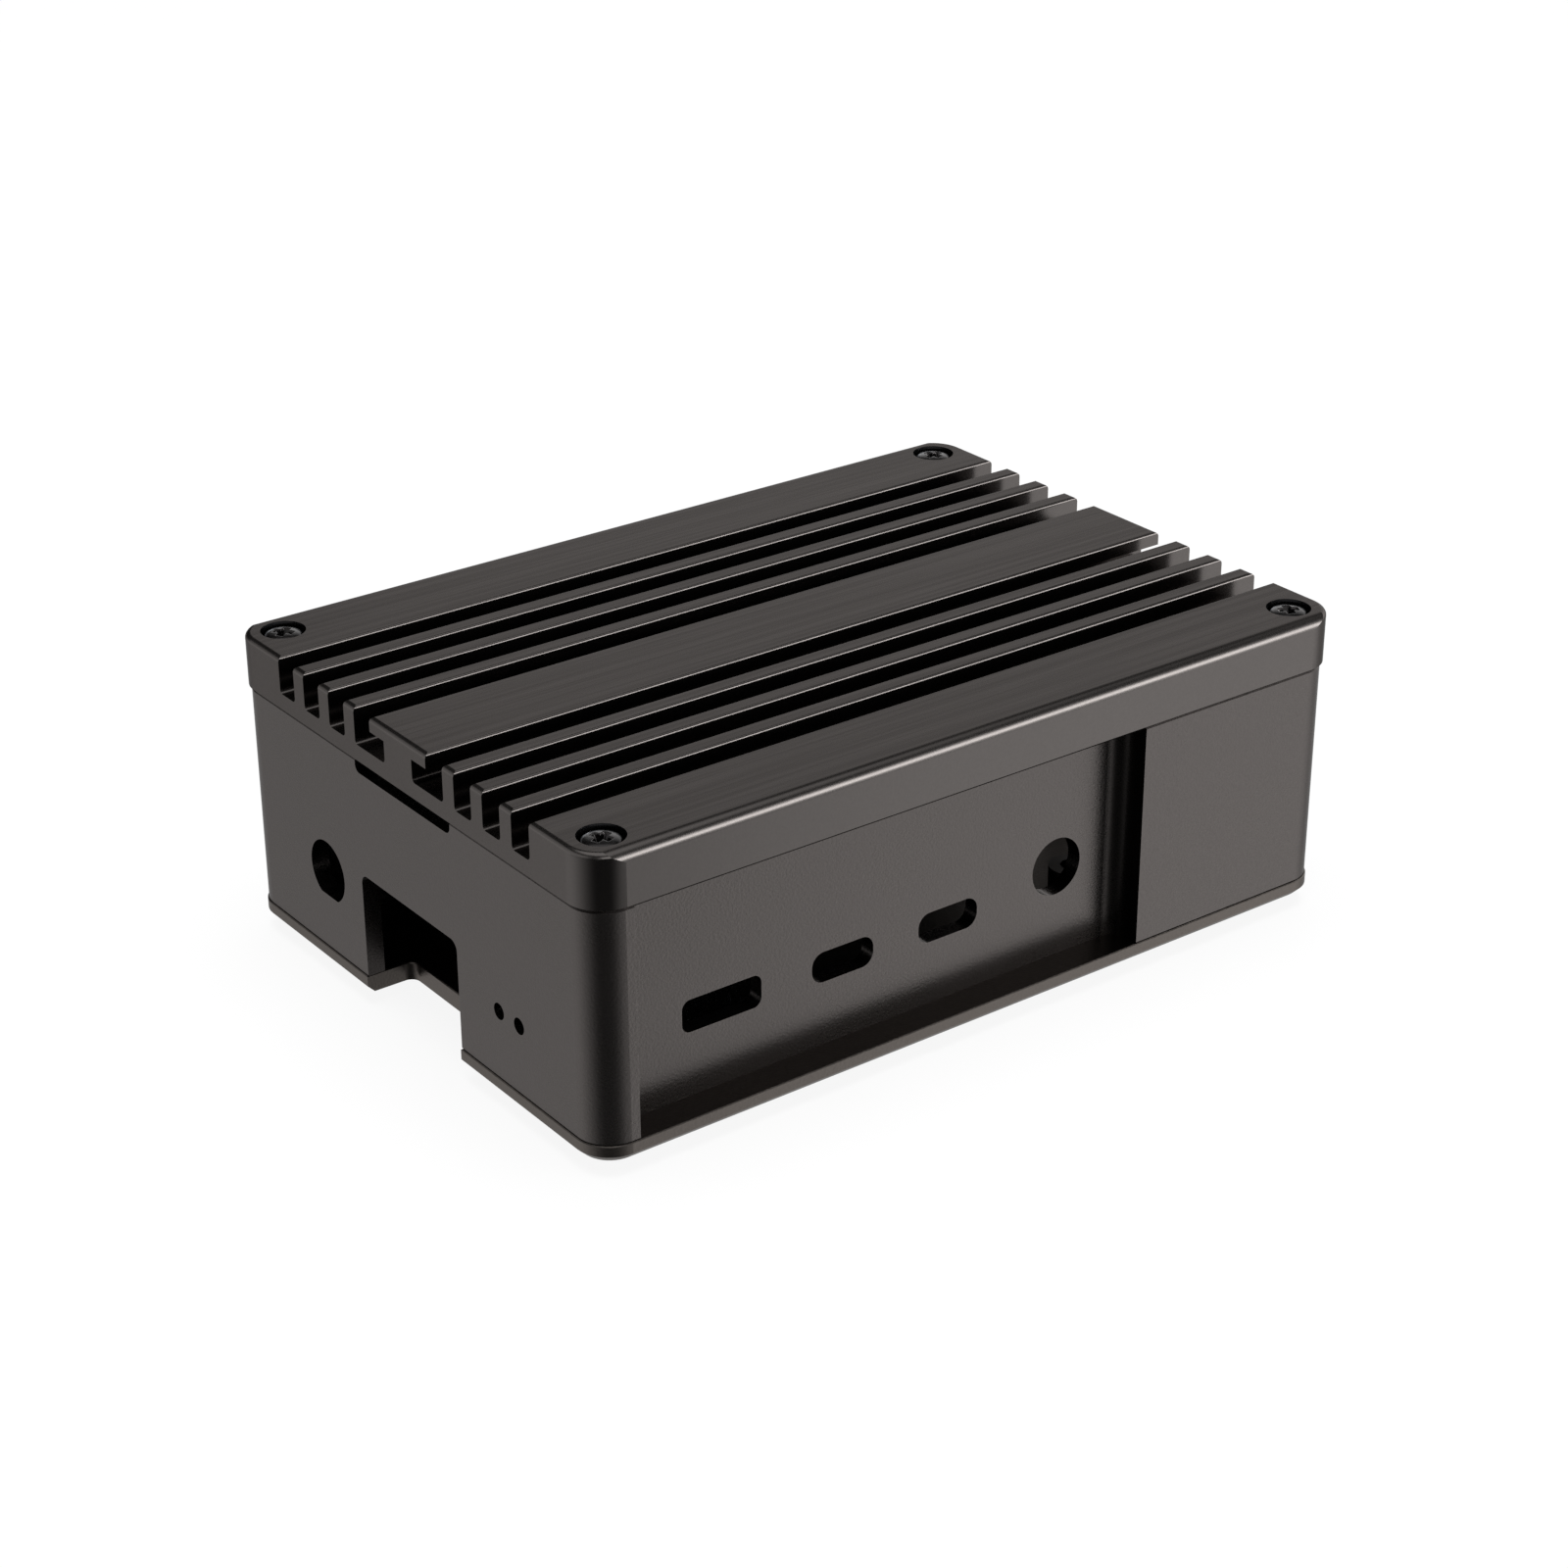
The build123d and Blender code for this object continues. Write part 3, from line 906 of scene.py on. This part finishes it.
@dataclass
class Studio:
    """The floor, the light and the camera.

    Lengths are in metres, angles in degrees, and light levels in shares of plain white. Bearings run from X
    towards Y, and heights up from the floor. A span gives the bearings at which a level begins and is full,
    counted from the dark card below the horizon and from the side that lies behind the object above it.

    Args:
        camera_place: where the camera stands.
        camera_turn: its Euler angles.
        camera_lens: its focal length in millimetres.
        camera_sensor: the width of its sensor in millimetres.
        camera_clip: the nearest that it sees.
        floor_reach: half the floor's width.
        floor_colour: the colour that takes the shadow.
        floor_share: how much of the floor near the object glows to the camera by itself.
        floor_fade: the distances between which all of it comes to glow.
        horizon: the heights between which the sky gives way to the floor.
        card_bearing: where the dark card stands, in front of the near corner.
        card_level: the card's level.
        left_level: the floor's level left of the card.
        left_span: where the card gives way to it.
        right_levels: the two rises of the level right of the card.
        right_near_span: where the first rise lies.
        right_far_span: where the second rise lies.
        right_edge_fall: how far the level falls again.
        right_edge_span: where it falls.
        far_span: where the left level turns into the right one, at the back.
        near_floor_lift: how much brighter the floor is close by.
        near_floor_heights: where it is brighter.
        near_floor_span: the bearings that it is brighter at.
        low_sky: the levels of the wall at the back, and of its lower part on top of that.
        low_sky_heights: the upper edge of the wall.
        lowest_sky_heights: the upper edge of its lower part.
        back_span: half the wall's width.
        horizon_glow: how much brighter the wall's foot is.
        glow_heights: the upper edge of its foot.
        side_wall: the level of the wall aside.
        side_wall_heights: its upper edge.
        side_wall_start: its edge towards the back.
        side_wall_end: its edge towards the card.
        gap_level: the level of the dark gap over the walls.
        zenith_level: the level of the ceiling.
        zenith_heights: the ceiling's edge.
        key_bearing: where the bright band stands.
        key_width: its width.
        key_heights: its lower and upper edge.
        key_blur: how soft its edges are.
        key_light: its level.
        lamp_height: the height of the overhead lamp.
        lamp_size: the lamp's width.
        lamp_light: the lamp's level.
    """

    camera_place: Point = (-0.188612, -0.250866, 0.168677)
    camera_turn: Point = (63.9592, 0.1757, -36.9125)
    camera_lens: float = 74.1182
    camera_sensor: float = 36.0
    camera_clip: float = 0.01
    floor_reach: float = 1.6
    floor_colour: Colour = (0.8, 0.8, 0.8)
    floor_share: float = 0.90
    floor_fade: Span = (0.2, 0.7)
    horizon: Span = (8.0, -8.0)
    card_bearing: float = -128.0
    card_level: float = 0.01
    left_level: float = 0.80
    left_span: Span = (-10.0, -102.0)
    right_levels: Span = (0.42, 0.92)
    right_near_span: Span = (23.0, 68.0)
    right_far_span: Span = (64.0, 82.0)
    right_edge_fall: float = 0.56
    right_edge_span: Span = (86.0, 112.0)
    far_span: Span = (-146.0, -178.0)
    near_floor_lift: float = 0.08
    near_floor_heights: Span = (-25.0, -33.0)
    near_floor_span: Span = (60.0, 20.0)
    low_sky: Span = (0.72, 0.46)
    low_sky_heights: Span = (40.0, 27.0)
    lowest_sky_heights: Span = (28.0, 19.0)
    back_span: Span = (22.0, 8.0)
    horizon_glow: float = 0.4
    glow_heights: Span = (17.0, 5.0)
    side_wall: float = 0.5
    side_wall_heights: Span = (40.0, 28.0)
    side_wall_start: Span = (56.0, 74.0)
    side_wall_end: Span = (160.0, 140.0)
    gap_level: float = 0.04
    zenith_level: float = 0.80
    zenith_heights: Span = (51.0, 59.0)
    key_bearing: float = -50.0
    key_width: float = 40.0
    key_heights: Span = (6.0, 22.0)
    key_blur: float = 4.0
    key_light: float = 4.6
    lamp_height: float = 1.2
    lamp_size: float = 0.9
    lamp_light: float = 6.5

    def build(self) -> None:
        """Builds the whole studio."""
        self.build_floor()
        self.build_sky()
        self.build_lamp()
        self.build_camera()

    def build_floor(self) -> bpy.types.Object:
        """Builds the pale floor, white to the camera, with the object's shadow on it.

        Returns:
            The floor.
        """
        mesh = bpy.data.meshes.new("studio_floor")
        reach = self.floor_reach
        corners = [(-reach, -reach, 0.0), (reach, -reach, 0.0), (reach, reach, 0.0), (-reach, reach, 0.0)]
        mesh.from_pydata(corners, [], [(0, 1, 2, 3)])
        floor = bpy.data.objects.new("studio_floor", mesh)
        bpy.context.scene.collection.objects.link(floor)
        floor.visible_glossy = False
        floor.visible_shadow = False
        material, graph = fresh_material("pale_floor")
        white = (1.0, 1.0, 1.0, 1.0)
        glow = graph.node("ShaderNodeEmission", inputs={"Color": white, "Strength": 1.0}).outputs[0]
        pale = graph.node("ShaderNodeBsdfDiffuse", inputs={"Color": (*self.floor_colour, 1.0)}).outputs[0]
        x, y = graph.along("X"), graph.along("Y")
        away = (x * x + y * y) ** 0.5
        share = self.seen_directly(graph) * away.step(*self.floor_fade, self.floor_share, 1.0)
        shader = graph.node("ShaderNodeMixShader", inputs={0: share, 1: pale, 2: glow}).outputs[0]
        graph.node("ShaderNodeOutputMaterial", inputs={"Surface": shader})
        mesh.materials.append(material)
        return floor

    @staticmethod
    def seen_directly(graph: Graph) -> Value:
        """Tells the rays that see the backdrop itself from the rays that light the object.

        Args:
            graph: the graph that asks.

        Returns:
            1 for a camera ray or a ray through glass.
        """
        path = graph.node("ShaderNodeLightPath")
        return Value(graph, path.outputs["Is Camera Ray"]).either(Value(graph, path.outputs["Is Transmission Ray"]))

    def floor_ring(self, bearing: Value, height: Value) -> Value:
        """The bright floor as the walls mirror it, with the dark card in front of the near corner.

        Args:
            bearing: the direction's bearing from the dark card.
            height: its height.

        Returns:
            The light level.
        """
        left = bearing.step(*self.left_span, self.card_level, self.left_level)
        near, far = self.right_levels
        right = bearing.step(*self.right_near_span, 0.0, near) + bearing.step(*self.right_far_span, 0.0, far)
        edge = bearing.step(*self.right_edge_span, 0.0, self.right_edge_fall)
        right_end = near + far + self.card_level - self.right_edge_fall
        back = bearing.step(*self.far_span, 0.0, right_end - self.left_level)
        lift = height.step(*self.near_floor_heights, 0.0, self.near_floor_lift)
        return left + right + back + lift * bearing.step(*self.near_floor_span) - edge

    def sky_dome(self, bearing: Value, height: Value) -> Value:
        """The dim studio over the object: pale walls at the back and aside, a dark gap and a pale ceiling.

        Args:
            bearing: the direction's bearing from the back.
            height: its height.

        Returns:
            The light level.
        """
        low, lowest = self.low_sky
        wall = height.step(*self.low_sky_heights, 0.0, low) + height.step(*self.lowest_sky_heights, 0.0, lowest)
        glow = height.step(*self.glow_heights, 0.0, self.horizon_glow)
        aside = height.step(*self.side_wall_heights, 0.0, self.side_wall)
        aside = aside * bearing.step(*self.side_wall_start) * bearing.step(*self.side_wall_end)
        ceiling = height.step(*self.zenith_heights, 0.0, self.zenith_level - self.gap_level)
        return (wall + glow) * bearing.step(*self.back_span) + aside + ceiling + self.gap_level

    def key_band(self, bearing: Value, height: Value) -> Value:
        """The bright band that gives the lid's long edge its shine.

        Args:
            bearing: the direction's bearing from the dark card.
            height: its height.

        Returns:
            The light level.
        """
        blur = self.key_blur
        low, high = self.key_heights
        aside = abs(bearing - (self.key_bearing - self.card_bearing))
        side = aside.step(self.key_width / 2 + blur, self.key_width / 2 - blur)
        return side * height.step(low - blur, low + blur) * height.step(high + blur, high - blur) * self.key_light

    def build_sky(self) -> bpy.types.World:
        """Builds the light round the object: white behind it, and the studio that the metal mirrors.

        Returns:
            The world.
        """
        world = bpy.data.worlds.new("studio_sky")
        world.use_nodes = True
        world.node_tree.nodes.clear()
        graph = Graph(world.node_tree)
        x, y, up = graph.axes(graph.node("ShaderNodeTexCoord").outputs["Generated"])
        turn = math.radians(self.card_bearing)
        along = x * math.cos(turn) + y * math.sin(turn)
        across = y * math.cos(turn) - x * math.sin(turn)
        degrees = 180.0 / math.pi
        from_card = across.math("ARCTAN2", along) * degrees
        from_back = (-across).math("ARCTAN2", -along) * degrees
        height = up.math("ARCSINE") * degrees
        below = height.step(*self.horizon)
        sky = self.floor_ring(from_card, height) * below + self.sky_dome(from_back, height) * (1.0 - below)
        sky = sky + self.key_band(from_card, height)
        seen = self.seen_directly(graph)
        strength = seen + (1.0 - seen) * sky
        inputs = {"Color": (1.0, 1.0, 1.0, 1.0), "Strength": strength}
        background = graph.node("ShaderNodeBackground", inputs=inputs).outputs[0]
        graph.node("ShaderNodeOutputWorld", inputs={"Surface": background})
        bpy.context.scene.world = world
        return world

    def build_lamp(self) -> bpy.types.Object:
        """Builds the wide lamp overhead, which the metal doesn't mirror.

        Returns:
            The lamp.
        """
        lamp = bpy.data.lights.new("overhead_softbox", "AREA")
        lamp.shape = "SQUARE"
        lamp.size = self.lamp_size
        lamp.energy = self.lamp_light * math.pi * lamp.size * lamp.size
        softbox = bpy.data.objects.new("overhead_softbox", lamp)
        bpy.context.scene.collection.objects.link(softbox)
        softbox.location = (0.0, 0.0, self.lamp_height)
        softbox.visible_camera = False
        softbox.visible_glossy = False
        return softbox

    def build_camera(self) -> bpy.types.Object:
        """Builds the camera at the photograph's place.

        Returns:
            The camera.
        """
        data = bpy.data.cameras.new("studio_camera")
        data.sensor_width = self.camera_sensor
        data.lens = self.camera_lens
        data.clip_start = self.camera_clip
        camera = bpy.data.objects.new("studio_camera", data)
        bpy.context.scene.collection.objects.link(camera)
        camera.location = self.camera_place
        camera.rotation_euler = Euler(tuple(math.radians(angle) for angle in self.camera_turn))
        bpy.context.scene.camera = camera
        return camera


def main() -> None:
    """Builds the case's finishes and the studio."""
    logging.basicConfig(level=logging.INFO, format="%(name)s %(message)s")
    parts = (FinnedCover, BodyFrame, BasePlate, CoverScrews, BaseScrews, BoardStandoffs, RubberFeet, HeatPads)
    for part in (*parts, Studio):
        part().build()
    bpy.context.scene.view_settings.view_transform = "Standard"


if __name__ == "__main__":
    main()
